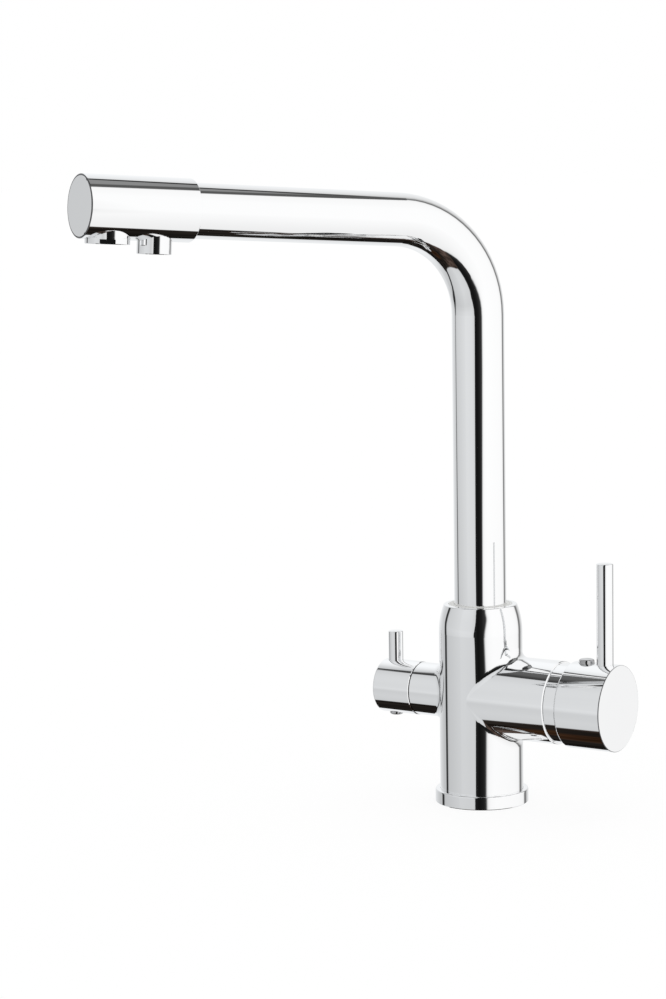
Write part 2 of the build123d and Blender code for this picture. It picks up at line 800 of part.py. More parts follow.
def make_cartridge_housing():
    cavity_start = cartridge_start + cartridge_base
    snout_end = cartridge_shoulder + snout_length
    housing = bar(cartridge_radius, cartridge_start, cartridge_shoulder)
    housing += bar(snout_radius, cartridge_shoulder, snout_end)
    housing -= bar(cavity_radius, cavity_start, cartridge_front)
    housing -= bar(snout_bore_radius, cavity_start, snout_end)
    seal_end = cartridge_start + port_seal_section
    for y, z in port_places():
        housing -= bar(port_radius, cartridge_start, cavity_start, y, z)
        housing -= bar(port_radius + port_seal_section, cartridge_start, seal_end, y, z)
    return housing


def make_port_seals():
    seal_end = cartridge_start + port_seal_section - seat_gap
    outer = port_radius + port_seal_section - seat_gap
    rings = [
        bar(outer, cartridge_start, seal_end, y, z) - bar(port_radius, cartridge_start, seal_end, y, z)
        for y, z in port_places()
    ]
    return Compound(children=rings)


def make_fixed_disc():
    end = fixed_disc_start + disc_thickness
    disc = bar(cavity_radius - seat_gap, fixed_disc_start, end)
    for y, z in port_places():
        disc -= bar(disc_port_radius, fixed_disc_start, end, y, z)
    return disc


def make_moving_disc():
    start = moving_disc_start
    pocket_end = start + mixing_pocket_depth
    disc = bar(moving_disc_radius, start, start + disc_thickness)
    disc -= bar(mixing_pocket_radius, start, pocket_end, 0.0, mixing_pocket_rise)
    disc -= bar(disc_port_radius, start, pocket_end, 0.0, -mixing_tail_drop)
    tail = (-disc_port_radius, disc_port_radius)
    return disc - block((start, pocket_end), tail, (handle_height - mixing_tail_drop, handle_height))


def make_disc_slider():
    end = slider_start + slider_thickness
    slider = bar(moving_disc_radius, slider_start, end)
    return slider - bar(stem_ball_radius + move_gap, slider_start + slider_web, end)


def pivot_bar(radius, length):
    half = length / 2.0
    return strut(radius, (pivot_x, -half, handle_height), (pivot_x, half, handle_height))


def make_mixer_rotor():
    start = rotor_end - rotor_length
    end = rotor_end + rotor_snout_length
    rotor = bar(cavity_radius - rotor_slack, start, rotor_end)
    rotor += bar(snout_bore_radius - run_gap, rotor_end, end)
    tilt = math.radians(lever_tilt)
    half = stem_width / 2.0
    drop = math.tan(tilt) * (end - pivot_x) + half / math.cos(tilt) + move_gap
    slot_y = (-half - move_gap, half + move_gap)
    rotor -= block((start, end), slot_y, (handle_height - drop, handle_height + rotor_slot_rise))
    return rotor - pivot_bar(pivot_pin_radius + seat_gap / 2.0, pivot_pin_length + 2.0 * seat_gap)


def make_pivot_pin():
    return pivot_bar(pivot_pin_radius, pivot_pin_length)


def make_lever_stem():
    half = stem_width / 2.0
    heel = pivot_x - stem_heel
    ball_x = pivot_x - stem_ball_back
    stem = block((heel, stem_end), (-half, half), (handle_height - half, handle_height + half))
    tip = stem.edges().filter_by_position(Axis.X, stem_end - 0.001, stem_end + 0.001)
    stem = chamfer(tip, stem_edge)
    stem += bar(stem_neck_radius, ball_x, heel)
    stem += Pos(ball_x, 0, handle_height) * Sphere(stem_ball_radius)
    return stem - pivot_bar(pivot_pin_radius + run_gap, stem_width)


def make_retaining_nut():
    nose_end = nut_end + nut_nose_length
    nut = bar(nut_radius - seat_gap, nut_seat, nut_end)
    nut += bar(nut_nose_radius, nut_end, nose_end)
    nut -= bar(nut_bore_radius, nut_seat, nose_end)
    half = nut_slot_width / 2.0
    low = handle_height - nut_radius
    high = handle_height + nut_radius
    nut -= block((nut_end, nose_end), (-nut_radius, nut_radius), (handle_height - half, handle_height + half))
    return nut - block((nut_end, nose_end), (-half, half), (low, high))


def make_cover_ring():
    cover = bar(cover_radius, cover_start, cover_end)
    cover = fillet(circles_at(cover, Axis.X, cover_end), cover_round)
    cover = chamfer(circles_at(cover, Axis.X, cover_start), mouth_chamfer)
    cover -= bar(nut_radius, cover_start, nut_end + seat_gap)
    cover -= bar(nut_nose_radius + seat_gap, cover_start, cover_end - cover_lip_thickness)
    return cover - bar(cover_mouth_radius, cover_start, cover_end)


# ---------------------------------------------------------------- mixer handle

def make_handle_cap():
    cap = bar(cap_radius, cap_start, cap_end)
    cap = fillet(circles_at(cap, Axis.X, cap_end), cap_edge)
    cap = fillet(circles_at(cap, Axis.X, cap_start), cap_back_round)
    top = handle_height + cap_radius
    cavity = bar(cap_radius - cap_wall, cap_start, cap_cavity_end)
    cavity -= bar(hub_radius, hub_back, cap_cavity_end)
    cavity -= post(boss_radius, handle_height, top, lever_position)
    cap -= cavity
    half = stem_width / 2.0 + seat_gap
    square = ((-half, half), (handle_height - half, handle_height + half))
    cap -= block((hub_back, stem_end + move_gap), *square)
    # lever hole and its thread
    lever_seat = handle_height + lever_foot
    cap -= post(lever_radius + seat_gap, lever_seat, top, lever_position)
    cap -= post(lever_thread_radius, handle_height + lever_thread_foot, lever_seat, lever_position)
    # plug hole above the grub screw's thread
    hub_top = handle_height + hub_radius
    cap -= post(grub_radius, handle_height, hub_top, cap_plug_position)
    cap -= post(cap_plug_shank_radius + seat_gap, hub_top, top, cap_plug_position)
    return cap - post(cap_plug_radius + plug_gap, top - plug_sink, top, cap_plug_position)


def make_mixer_lever():
    seat = handle_height + lever_foot + seat_gap
    top = handle_height + lever_top
    rod = post(lever_radius, seat, top, lever_position)
    rod = fillet(circles_at(rod, Axis.Z, top), lever_edge)
    thread_foot = handle_height + lever_thread_foot + seat_gap
    return rod + post(lever_thread_radius - seat_gap, thread_foot, seat, lever_position)


def grub_screw():
    screw = post(grub_radius - seat_gap, 0.0, grub_length)
    return screw - hexagon(grub_key, grub_length - grub_key_depth, grub_length)


def make_mixer_grub_screw():
    start = handle_height + stem_width / 2.0 + seat_gap
    return Pos(cap_plug_position, 0, start) * grub_screw()


def make_cap_plug():
    top = handle_height + cap_radius + cap_plug_height
    seat = handle_height + cap_radius - plug_sink + seat_gap
    plug = post(cap_plug_radius, seat, top, cap_plug_position)
    plug = fillet(circles_at(plug, Axis.Z, top), cap_plug_round)
    shank_bottom = handle_height + cap_radius - cap_wall - move_gap
    return plug + post(cap_plug_shank_radius, shank_bottom, seat, cap_plug_position)


# ---------------------------------------------------------------- filtered water valve

def make_filter_end_seal():
    start = filter_floor + seat_gap
    end = start + end_seal_thickness
    ring = bar(headwork_radius, -start, -end)
    return ring - bar(end_seal_bore_radius, -start, -end)


def make_filter_headwork():
    body = bar(headwork_radius, -headwork_start, -filter_thread_end)
    thread_start = filter_chamber_end + seat_gap
    flange_start = filter_thread_end + seat_gap
    body += bar(filter_thread_radius - seat_gap, -thread_start, -flange_start)
    body += bar(headwork_flange_radius, -flange_start, -headwork_flange_end)
    body += about_handle_axis(hexagon(headwork_hex, 0.0, headwork_hex_length), -headwork_hex_end)
    body += bar(headwork_nose_radius, -headwork_hex_end, -headwork_nose_end)
    body -= bar(filter_disc_radius + seat_gap, -headwork_start, -headwork_bore_end)
    body -= bar(spindle_radius + run_gap, -headwork_bore_end, -headwork_nose_end)
    window_x = (-headwork_bore_end, window_length - headwork_bore_end)
    half = window_width / 2.0
    low = handle_height - filter_chamber_radius
    high = handle_height + filter_chamber_radius
    return body - block(window_x, (-half, half), (low, high))


def disc_holes(start, end):
    """The two holes of a ceramic disc, one above and one below the axis."""
    upper = bar(disc_hole_radius, -start, -end, 0.0, disc_hole_offset)
    return upper + bar(disc_hole_radius, -start, -end, 0.0, -disc_hole_offset)


def make_filter_fixed_disc():
    end = headwork_start + filter_disc_thickness
    return bar(filter_disc_radius, -headwork_start, -end) - disc_holes(headwork_start, end)


def make_filter_moving_disc():
    end = filter_moving_start + filter_disc_thickness
    disc = bar(filter_disc_radius - run_gap, -filter_moving_start, -end)
    return disc - turned_about_handles(disc_holes(filter_moving_start, end), 90.0)


def make_filter_spindle():
    half = spindle_drive_width / 2.0
    reach = filter_disc_radius - spindle_drive_slack
    shoulder_end = clip_end + spindle_shoulder
    tongue = bar(reach, -drive_start, -drive_end)
    tongue &= block(
        (-drive_end, -drive_start), (-half, half), (handle_height - reach, handle_height + reach)
    )
    spindle = tongue + bar(spindle_radius, -drive_end, -shoulder_end)
    spindle += bar(spindle_spline_radius, -shoulder_end, -spindle_end)
    floor = spindle_radius + run_gap - spindle_seal_section - 2.0 * seat_gap
    width = spindle_seal_section + 2.0 * seat_gap
    groove = ring_groove(spindle_radius, floor, 0.0, width)
    spindle -= about_handle_axis(groove, -spindle_seal_position)
    clip_groove = bar(spindle_radius, -headwork_nose_end, -clip_end - seat_gap)
    clip_groove -= bar(clip_groove_radius, -headwork_nose_end, -clip_end - seat_gap)
    return spindle - clip_groove


def make_spindle_seal():
    ring = round_seal(spindle_radius + run_gap, spindle_seal_section)
    return about_handle_axis(ring, -spindle_seal_position)


def make_spindle_clip():
    clip = bar(clip_radius, -clip_start, -clip_end)
    clip -= bar(clip_groove_radius + seat_gap, -clip_start, -clip_end)
    mouth = ((-clip_mouth, clip_mouth), (handle_height - clip_radius, handle_height))
    return clip - block((-clip_end, -clip_start), *mouth)


def make_filter_knob():
    knob = bar(knob_radius, -knob_start, -knob_end)
    knob = fillet(circles_at(knob, Axis.X, -knob_end), knob_edge)
    knob = chamfer(circles_at(knob, Axis.X, -knob_start), mouth_chamfer)
    knob -= bar(knob_cavity_radius, -knob_start, -knob_cavity_end)
    knob -= bar(spindle_spline_radius + seat_gap, -knob_cavity_end, -spindle_end - move_gap)
    x = -filter_lever_position
    top = handle_height + knob_radius
    lever_seat = handle_height + filter_lever_foot
    knob -= post(filter_lever_radius + seat_gap, lever_seat, top, x)
    knob -= post(filter_lever_thread_radius, handle_height, lever_seat, x)
    bottom = handle_height - knob_radius
    shank_end = bottom + plug_sink + knob_plug_shank_length + move_gap
    knob -= post(grub_radius, bottom, handle_height, x)
    knob -= post(knob_plug_shank_radius + seat_gap, bottom, shank_end, x)
    return knob - post(knob_plug_radius + plug_gap, bottom, bottom + plug_sink, x)


def make_filter_lever():
    x = -filter_lever_position
    top = handle_height + filter_lever_top
    seat = handle_height + filter_lever_foot + seat_gap
    rod = post(filter_lever_radius, seat, top, x)
    rod = fillet(circles_at(rod, Axis.Z, top), filter_lever_edge)
    thread_foot = handle_height + spindle_spline_radius + seat_gap
    return rod + post(filter_lever_thread_radius - seat_gap, thread_foot, seat, x)


def make_filter_grub_screw():
    start = handle_height - spindle_spline_radius - seat_gap
    return Pos(-filter_lever_position, 0, start) * Rot(180, 0, 0) * grub_screw()


def make_knob_plug():
    x = -filter_lever_position
    low = handle_height - knob_radius - knob_plug_height
    seat = handle_height - knob_radius + plug_sink - seat_gap
    plug = post(knob_plug_radius, low, seat, x)
    plug = fillet(circles_at(plug, Axis.Z, low), knob_plug_round)
    return plug + post(knob_plug_shank_radius, seat, seat + knob_plug_shank_length, x)


# ---------------------------------------------------------------- writing

pieces = {
    "base_ring": make_base_ring,
    "seat_gasket": make_seat_gasket,
    "tap_body": make_tap_body,
    "inlet_block": make_inlet_block,
    "upper_bearing": make_upper_bearing,
    "spout_retaining_screw": make_retaining_screw,
    "spout_tube": make_spout_tube,
    "swivel_foot": make_swivel_foot,
    "swivel_seals": make_swivel_seals,
    "filter_hose": make_filter_hose,
    "filter_spigot": make_filter_spigot,
    "spigot_seal": make_spigot_seal,
    "spout_head": make_spout_head,
    "head_end_cap": make_head_end_cap,
    "aerator_ring": make_aerator_ring,
    "aerator_washer": make_aerator_washer,
    "aerator_insert": make_aerator_insert,
    "filter_nozzle": make_filter_nozzle,
    "nozzle_seal": make_nozzle_seal,
    "nozzle_insert": make_nozzle_insert,
    "cartridge_housing": make_cartridge_housing,
    "cartridge_port_seals": make_port_seals,
    "cartridge_fixed_disc": make_fixed_disc,
    "cartridge_moving_disc": make_moving_disc,
    "cartridge_disc_slider": make_disc_slider,
    "cartridge_rotor": make_mixer_rotor,
    "cartridge_pivot_pin": make_pivot_pin,
    "cartridge_stem": make_lever_stem,
    "cartridge_nut": make_retaining_nut,
    "cartridge_cover_ring": make_cover_ring,
    "mixer_handle_cap": make_handle_cap,
    "mixer_lever_rod": make_mixer_lever,
    "mixer_grub_screw": make_mixer_grub_screw,
    "mixer_cap_plug": make_cap_plug,
    "filter_end_seal": make_filter_end_seal,
    "filter_headwork": make_filter_headwork,
    "filter_fixed_disc": make_filter_fixed_disc,
    "filter_moving_disc": make_filter_moving_disc,
    "filter_spindle": make_filter_spindle,
    "spindle_seal": make_spindle_seal,
    "spindle_clip": make_spindle_clip,
    "filter_knob": make_filter_knob,
    "filter_lever_rod": make_filter_lever,
    "filter_grub_screw": make_filter_grub_screw,
    "filter_knob_plug": make_knob_plug,
}

os.makedirs("parts", exist_ok=True)
for name, make in pieces.items():
    export_step(make(), "parts/" + name + ".step")
    print("wrote", name)
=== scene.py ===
import bpy
import math
from mathutils import Matrix, Vector

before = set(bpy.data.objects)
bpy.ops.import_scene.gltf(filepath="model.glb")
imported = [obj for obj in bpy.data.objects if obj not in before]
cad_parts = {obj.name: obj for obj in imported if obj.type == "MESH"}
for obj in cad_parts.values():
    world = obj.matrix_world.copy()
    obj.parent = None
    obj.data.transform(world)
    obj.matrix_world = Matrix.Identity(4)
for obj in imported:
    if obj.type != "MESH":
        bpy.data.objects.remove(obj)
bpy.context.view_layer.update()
print("frame loaded:", len(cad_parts), "nodes")

scene = bpy.context.scene
scene.view_settings.view_transform = "Standard"

shot = {
    "place": (0.7229, -1.2440, 0.3375),
    "towards": (-0.54505, 0.82996, -0.11866),
    "roll": -0.868,  # degrees, the camera leaned a little
    "lens": 97.12,
    "sensor": 36.0,
    "clip": (0.01, 300.0),  # metres, to past the far side of the panels
}


def placeCamera(settings):
    data = bpy.data.cameras.new("studioCamera")
    camera = bpy.data.objects.new("studioCamera", data)
    scene.collection.objects.link(camera)
    ahead = Vector(settings["towards"]).normalized()
    right = ahead.cross(Vector((0, 0, 1))).normalized()
    up = right.cross(ahead)
    roll = math.radians(settings["roll"])
    side = right * math.cos(roll) + up * math.sin(roll)
    top = up * math.cos(roll) - right * math.sin(roll)
    turn = Matrix((side, top, -ahead)).transposed().to_4x4()
    camera.matrix_world = Matrix.Translation(settings["place"]) @ turn
    data.lens = settings["lens"]
    data.sensor_width = settings["sensor"]
    data.sensor_fit = "AUTO"
    data.clip_start, data.clip_end = settings["clip"]
    data.dof.use_dof = False
    scene.camera = camera


placeCamera(shot)
print("camera placed")


def newTree(owner):  # an empty node tree for a material or the world
    owner.use_nodes = True
    owner.node_tree.nodes.clear()
    return owner.node_tree


def addNode(tree, kind, **values):
    node = tree.nodes.new(kind)
    for name, value in values.items():
        setattr(node, name, value)
    return node


def put(tree, value, socket):  # a link from another node, or a plain value
    if hasattr(value, "is_linked"):
        tree.links.new(value, socket)
    else:
        socket.default_value = value


def wire(tree, node, values):  # what goes into a node, by the names of its sockets
    for name, value in values.items():
        put(tree, value, node.inputs[name])
    return node.outputs[0]


def endTree(tree, shader, kind="ShaderNodeOutputMaterial"):
    put(tree, shader, addNode(tree, kind).inputs["Surface"])


def objectPlace(tree):
    return addNode(tree, "ShaderNodeTexCoord").outputs["Object"]


def maths(tree, operation, *values):
    node = addNode(tree, "ShaderNodeMath", operation=operation)
    for socket, value in zip(node.inputs, values):
        put(tree, value, socket)
    return node.outputs[0]


def vectorMaths(tree, operation, *values, gives="Vector"):
    node = addNode(tree, "ShaderNodeVectorMath", operation=operation)
    for socket, value in zip(node.inputs, values):
        put(tree, value, socket)
    return node.outputs[gives]


def product(tree, first, *others):
    for other in others:
        first = maths(tree, "MULTIPLY", first, other)
    return first


def spread(tree, value, source, target=(0.0, 1.0), kind="LINEAR"):  # from one span of numbers to the other
    node = addNode(tree, "ShaderNodeMapRange", interpolation_type=kind)
    return wire(tree, node, {"Value": value, "From Min": source[0], "From Max": source[1],
                             "To Min": target[0], "To Max": target[1]})


def ramp(tree, value, stops, low=0.0, high=1.0):  # each stop is a place between low and high, and its tone
    node = addNode(tree, "ShaderNodeValToRGB")
    put(tree, spread(tree, value, (low, high)), node.inputs[0])
    band = node.color_ramp
    band.interpolation = "LINEAR"
    while len(band.elements) > 1:
        band.elements.remove(band.elements[0])
    for number, (place, tone) in enumerate(stops):
        spot = (place - low) / (high - low)
        element = band.elements[0] if number == 0 else band.elements.new(spot)
        element.position = spot
        element.color = (*tone, 1.0) if isinstance(tone, tuple) else (tone, tone, tone, 1.0)
    return node.outputs[0]


def curve(tree, value, stops, low, high):  # a number that follows the stops, by a ramp of its share
    numbers = [number for place, number in stops]
    least, most = min(numbers), max(numbers)
    shares = [(place, (number - least) / (most - least)) for place, number in stops]
    return maths(tree, "MULTIPLY_ADD", ramp(tree, value, shares, low, high), most - least, least)


def step(tree, value, edge, soft):  # 0 below the edge, 1 above it
    return spread(tree, maths(tree, "SUBTRACT", value, edge), (-soft / 2, soft / 2), kind="SMOOTHSTEP")


def stepDown(tree, value, edge, soft):  # 1 below the edge, 0 above it
    return maths(tree, "SUBTRACT", 1.0, step(tree, value, edge, soft))


colourSockets = {"share": 0, "first": 6, "second": 7, "result": 2}  # places of a Mix node's colour sockets


def blend(tree, share, first, second, kind="MIX"):
    node = addNode(tree, "ShaderNodeMix", data_type="RGBA", blend_type=kind)
    put(tree, share, node.inputs[colourSockets["share"]])
    put(tree, first, node.inputs[colourSockets["first"]])
    put(tree, second, node.inputs[colourSockets["second"]])
    return node.outputs[colourSockets["result"]]


def noise(tree, place, scale, detail):
    node = addNode(tree, "ShaderNodeTexNoise", noise_dimensions="3D")
    return wire(tree, node, {"Vector": place, "Scale": scale, "Detail": detail})


def spanMask(tree, across, along, card, rims=(0.0, 0.0)):  # 1 on a card whose near and far edges are curves
    soft = card["soft"]
    low, high = card["reach"]
    nearRim, farRim = rims
    near = maths(tree, "SUBTRACT", curve(tree, across, card["near"], low, high), nearRim)
    far = maths(tree, "ADD", curve(tree, across, card["far"], low, high), farRim)
    return product(tree, step(tree, along, far, soft), stepDown(tree, along, near, soft),
                   step(tree, across, low + farRim, soft), stepDown(tree, across, high - farRim, soft))


studio = {
    "facing": math.atan2(-0.836, 0.549),  # radians, the camera's direction as seen from the tap
    "radius": 90.0,
    "segments": 64,
    "rings": 32,
    "tilt": 14.0,  # degrees that the lines on the left lean in towards the zenith
    "tiltAt": -118.0,  # degrees from the camera, where they lean by just that much
    # brightness of the panels round the tap, by angle from the camera, to the right positive
    "angles": (-180.0, 180.0),  # all the way round
    "walls": [
        (-180, 0.90), (-160, 0.79), (-152, 0.72), (-140, 0.64), (-132, 0.575), (-124, 0.59),
        (-122, 0.03), (-114.5, 0.03),  # a dark strip on the left
        (-112, 0.56), (-104, 0.595), (-90, 0.62), (-70, 0.665), (-66, 0.67), (-61, 0.70),
        (-52, 0.70), (-28, 0.68), (-19.5, 0.62), (0, 0.78), (10, 0.95), (22, 0.99),
        (32, 1.01), (100, 0.99), (116, 0.96), (124, 0.90),
        (128, 0.22), (133, 0.13), (137, 0.30),  # a grey strip on the right
        (144, 0.58), (152, 0.75), (172, 0.88), (180, 0.92),
    ],
    "tints": [
        (-180, (0.984, 1.0, 1.013)), (-30, (0.984, 1.0, 1.013)), (-8, (1.0, 1.0, 1.0)),
        (140, (1.0, 1.0, 1.0)), (180, (0.984, 1.0, 1.013)),
    ],
    # brightness by height, as the sine of the angle above the horizon
    "sines": (-1.0, 1.0),  # from straight below to straight above
    "heights": [
        (-1.0, 0.86), (-0.70, 0.91), (-0.45, 0.95), (-0.23, 0.975), (-0.10, 1.0),
        (0.60, 1.0), (0.80, 0.97), (1.0, 0.94),
    ],
    "leftHeights": [
        (-1.0, 0.92), (-0.70, 0.985), (-0.53, 0.985), (-0.37, 0.945), (-0.25, 0.92),
        (-0.215, 0.93), (-0.19, 0.96), (-0.165, 0.97), (-0.14, 1.02), (-0.10, 1.05),
        (-0.05, 1.07), (0.0, 1.035), (0.20, 1.035), (0.50, 1.075), (0.66, 1.09),
        (0.80, 1.06), (1.0, 0.98),
    ],
    "leftOf": (-25.0, 20.0),  # degrees: where the left heights give way to the others, over how many
    "leastHigh": 0.02,  # keeps the height, which others are divided by, away from zero
}

ceilingCard = {  # overhead, in lengths per unit of height: right of the tap, and towards the camera
    "reach": (-0.70, 0.59),
    "near": [(-0.70, 0.0), (-0.62, 0.07), (-0.50, 0.20), (0.40, 0.30), (0.59, 0.09)],
    "far": [
        (-0.70, -0.12), (-0.52, -0.28), (-0.38, -0.40), (0.25, -0.68), (0.40, -0.605),
        (0.46, -0.53), (0.54, -0.36), (0.59, -0.12),
    ],
    "soft": 0.05,
    "rims": (0.36, 0.13),  # width of the darker edges, towards the camera and away from it
    "middle": (0.258, 0.260, 0.260),
    "edges": [
        (-0.70, 0.03), (-0.63, 0.05), (-0.56, 0.10), (-0.40, 0.12), (0.05, 0.10),
        (0.20, 0.03), (0.36, 0.03), (0.45, 0.09), (0.59, 0.10),
    ],
    "above": (0.06, 0.04),  # the sine at which it begins, and how softly
}

gapSheet = {  # the dark gap beside the camera, in metres: towards the camera, and right of the tap
    "left": (0.683, -0.306),
    "right": (0.347, 0.169),
    "heights": (-0.449, 2.6),
    "span": (-0.21, 0.12),  # right of the tap, for the edge and the tone
    "start": -0.184,  # the left edge
    "soft": 0.010,
    "edge": [(-0.21, 1.0), (0.036, 1.0), (0.052, 0.88), (0.070, 0.28), (0.085, 0.06), (0.119, 0.0)],
    "tone": [(-0.21, 0.014), (-0.10, 0.006), (0.0, 0.012), (0.06, 0.03)],
    # how much further out the left and the right edge stand, by height
    "leans": (-0.45, 0.30),
    "leftLean": [
        (-0.45, 0.047), (-0.025, 0.042), (0.0, 0.08), (0.03, 0.089),
        (0.13, 0.048), (0.21, 0.012), (0.30, 0.0),
    ],
    "rightLean": [
        (-0.45, 0.0), (-0.02, 0.005), (0.02, -0.012), (0.10, 0.004),
        (0.13, 0.014), (0.207, 0.038), (0.24, 0.040), (0.30, 0.028),
    ],
}

tableCard = {  # a dark sheet below the tap, in metres: towards the camera, and right of the tap
    "height": -0.45,
    "size": 6.0,
    "reach": (-0.56, 1.49),
    "near": [
        (-0.56, 0.17), (-0.30, 0.24), (0.0, 0.235), (0.20, 0.10), (0.40, 0.065),
        (0.57, 0.08), (0.754, 0.136), (1.49, 0.284),
    ],
    "far": [
        (-0.56, 0.0), (-0.47, -0.10), (-0.35, -0.40), (-0.27, -0.64), (0.03, -0.45),
        (0.20, -0.38), (0.35, -0.33), (0.50, -0.28), (0.57, -0.24), (0.754, -0.21),
        (1.49, -0.397),
    ],
    "soft": 0.04,
    "colours": [
        (-0.56, (0.008, 0.007, 0.006)), (-0.20, (0.012, 0.010, 0.009)),
        (0.10, (0.015, 0.012, 0.010)), (0.22, (0.064, 0.044, 0.036)),
        (0.35, (0.064, 0.044, 0.036)), (0.55, (0.038, 0.027, 0.022)),
        (0.85, (0.019, 0.014, 0.012)), (1.49, (0.019, 0.014, 0.012)),
    ],
    # a round patch of warmer brown on the left, and stains all over
    "warmth": {"centre": (-0.05, -0.17), "radius": 0.10, "soft": 0.09, "colour": (0.034, 0.0155, 0.0075)},
    "mottle": {"scale": 9.0, "detail": 3.0, "tones": [(0.36, 0.45), (0.50, 1.0), (0.64, 1.7)]},
}


def newStudioMaterial(name):
    material = bpy.data.materials.new(name)
    material.cycles.emission_sampling = "NONE"
    return material, newTree(material)


def onlyInReflections(piece):
    for kind in ("camera", "diffuse", "glossy", "transmission", "volume_scatter", "shadow"):
        setattr(piece, "visible_" + kind, kind == "glossy")


def addSheet(name, size, height=0.0):
    bpy.ops.object.select_all(action="DESELECT")
    bpy.ops.mesh.primitive_plane_add(size=size, location=(0, 0, height))
    sheet = bpy.context.object
    sheet.name = name
    return sheet


def turnedToCamera(tree, vector):  # gives its parts towards the camera, to the right and up
    turn = addNode(tree, "ShaderNodeVectorRotate", rotation_type="Z_AXIS")
    turned = wire(tree, turn, {"Vector": vector, "Angle": -studio["facing"]})
    parts = addNode(tree, "ShaderNodeSeparateXYZ")
    put(tree, turned, parts.inputs[0])
    return list(parts.outputs)


def cutGlow(tree, colour, mask):  # light of the card's own, clear where the mask is 0
    glow = wire(tree, addNode(tree, "ShaderNodeEmission"), {"Color": colour})
    clear = addNode(tree, "ShaderNodeBsdfTransparent").outputs[0]
    both = addNode(tree, "ShaderNodeMixShader")
    for socket, value in zip(both.inputs, (mask, clear, glow)):
        put(tree, value, socket)
    endTree(tree, both.outputs[0])


def buildPanels(settings, card):
    bpy.ops.object.select_all(action="DESELECT")
    bpy.ops.mesh.primitive_uv_sphere_add(segments=settings["segments"], ring_count=settings["rings"],
                                         radius=settings["radius"])
    dome = bpy.context.object
    dome.name = "studioPanels"
    material, tree = newStudioMaterial("studioPanels")
    ahead, side, high = turnedToCamera(tree, vectorMaths(tree, "NORMALIZE", objectPlace(tree)))
    steepness = maths(tree, "ABSOLUTE", high)
    angle = maths(tree, "MULTIPLY", maths(tree, "ARCTAN2", side, ahead), math.degrees(1))
    leftward = maths(tree, "MAXIMUM", maths(tree, "MULTIPLY", angle, 1 / settings["tiltAt"]), 0.0)
    tilt = product(tree, leftward, maths(tree, "MULTIPLY", steepness, settings["tilt"]))
    angle = maths(tree, "SUBTRACT", angle, tilt)
    walls = ramp(tree, angle, settings["walls"], *settings["angles"])
    tints = ramp(tree, angle, settings["tints"], *settings["angles"])
    leftHeights = ramp(tree, high, settings["leftHeights"], *settings["sines"])
    heights = ramp(tree, high, settings["heights"], *settings["sines"])
    heights = blend(tree, step(tree, angle, *settings["leftOf"]), leftHeights, heights)
    light = blend(tree, 1.0, blend(tree, 1.0, walls, tints, "MULTIPLY"), heights, "MULTIPLY")
    lift = maths(tree, "MAXIMUM", steepness, settings["leastHigh"])
    across, along = (maths(tree, "DIVIDE", part, lift) for part in (side, ahead))
    above = step(tree, high, *card["above"])
    outer = product(tree, spanMask(tree, across, along, card), above)
    inner = product(tree, spanMask(tree, across, along, card, card["rims"]), above)
    light = blend(tree, outer, light, ramp(tree, across, card["edges"], *card["reach"]))
    light = blend(tree, inner, light, (*card["middle"], 1.0))
    endTree(tree, wire(tree, addNode(tree, "ShaderNodeEmission"), {"Color": light}))
    dome.data.materials.append(material)
    onlyInReflections(dome)


def buildGap(card):
    facing = studio["facing"]
    ahead = Vector((math.cos(facing), math.sin(facing), 0))
    side = Vector((-math.sin(facing), math.cos(facing), 0))
    left, right = (ahead * card[end][0] + side * card[end][1] for end in ("left", "right"))
    low, high = card["heights"]
    sheet = addSheet("studioGap", high - low)
    for corner in sheet.data.vertices:
        foot = left if corner.co.x < 0 else right
        corner.co = foot + Vector((0, 0, low if corner.co.y < 0 else high))
    material, tree = newStudioMaterial("studioGap")
    across, height = turnedToCamera(tree, objectPlace(tree))[1:]
    leftLean = curve(tree, height, card["leftLean"], *card["leans"])
    rightLean = curve(tree, height, card["rightLean"], *card["leans"])
    begun = step(tree, maths(tree, "ADD", across, leftLean), card["start"], card["soft"])
    ended = ramp(tree, maths(tree, "SUBTRACT", across, rightLean), card["edge"], *card["span"])
    cutGlow(tree, ramp(tree, across, card["tone"], *card["span"]), product(tree, begun, ended))
    sheet.data.materials.append(material)
    onlyInReflections(sheet)


def buildTable(card):
    table = addSheet("studioTable", card["size"], card["height"])
    material, tree = newStudioMaterial("studioTable")
    place = objectPlace(tree)
    ahead, side = turnedToCamera(tree, place)[:2]
    warmth, mottle = card["warmth"], card["mottle"]
    offsets = [maths(tree, "SUBTRACT", part, middle) for part, middle in zip((ahead, side), warmth["centre"])]
    squares = [maths(tree, "MULTIPLY", offset, offset) for offset in offsets]
    distance = maths(tree, "SQRT", maths(tree, "ADD", *squares))
    outside = step(tree, distance, warmth["radius"], warmth["soft"])
    tone = blend(tree, outside, (*warmth["colour"], 1.0), ramp(tree, ahead, card["colours"], *card["reach"]))
    stains = noise(tree, place, mottle["scale"], mottle["detail"])
    tone = blend(tree, 1.0, tone, ramp(tree, stains, mottle["tones"]), "MULTIPLY")
    cutGlow(tree, tone, spanMask(tree, ahead, side, card))
    table.data.materials.append(material)
    onlyInReflections(table)


def buildWorld():
    world = bpy.data.worlds.new("studioWorld")
    tree = newTree(world)
    white = addNode(tree, "ShaderNodeBackground")
    endTree(tree, wire(tree, white, {"Color": (1.0, 1.0, 1.0, 1.0)}), "ShaderNodeOutputWorld")
    scene.world = world


paper = {"size": 160.0, "colour": (0.12, 0.12, 0.12), "glow": 0.882}


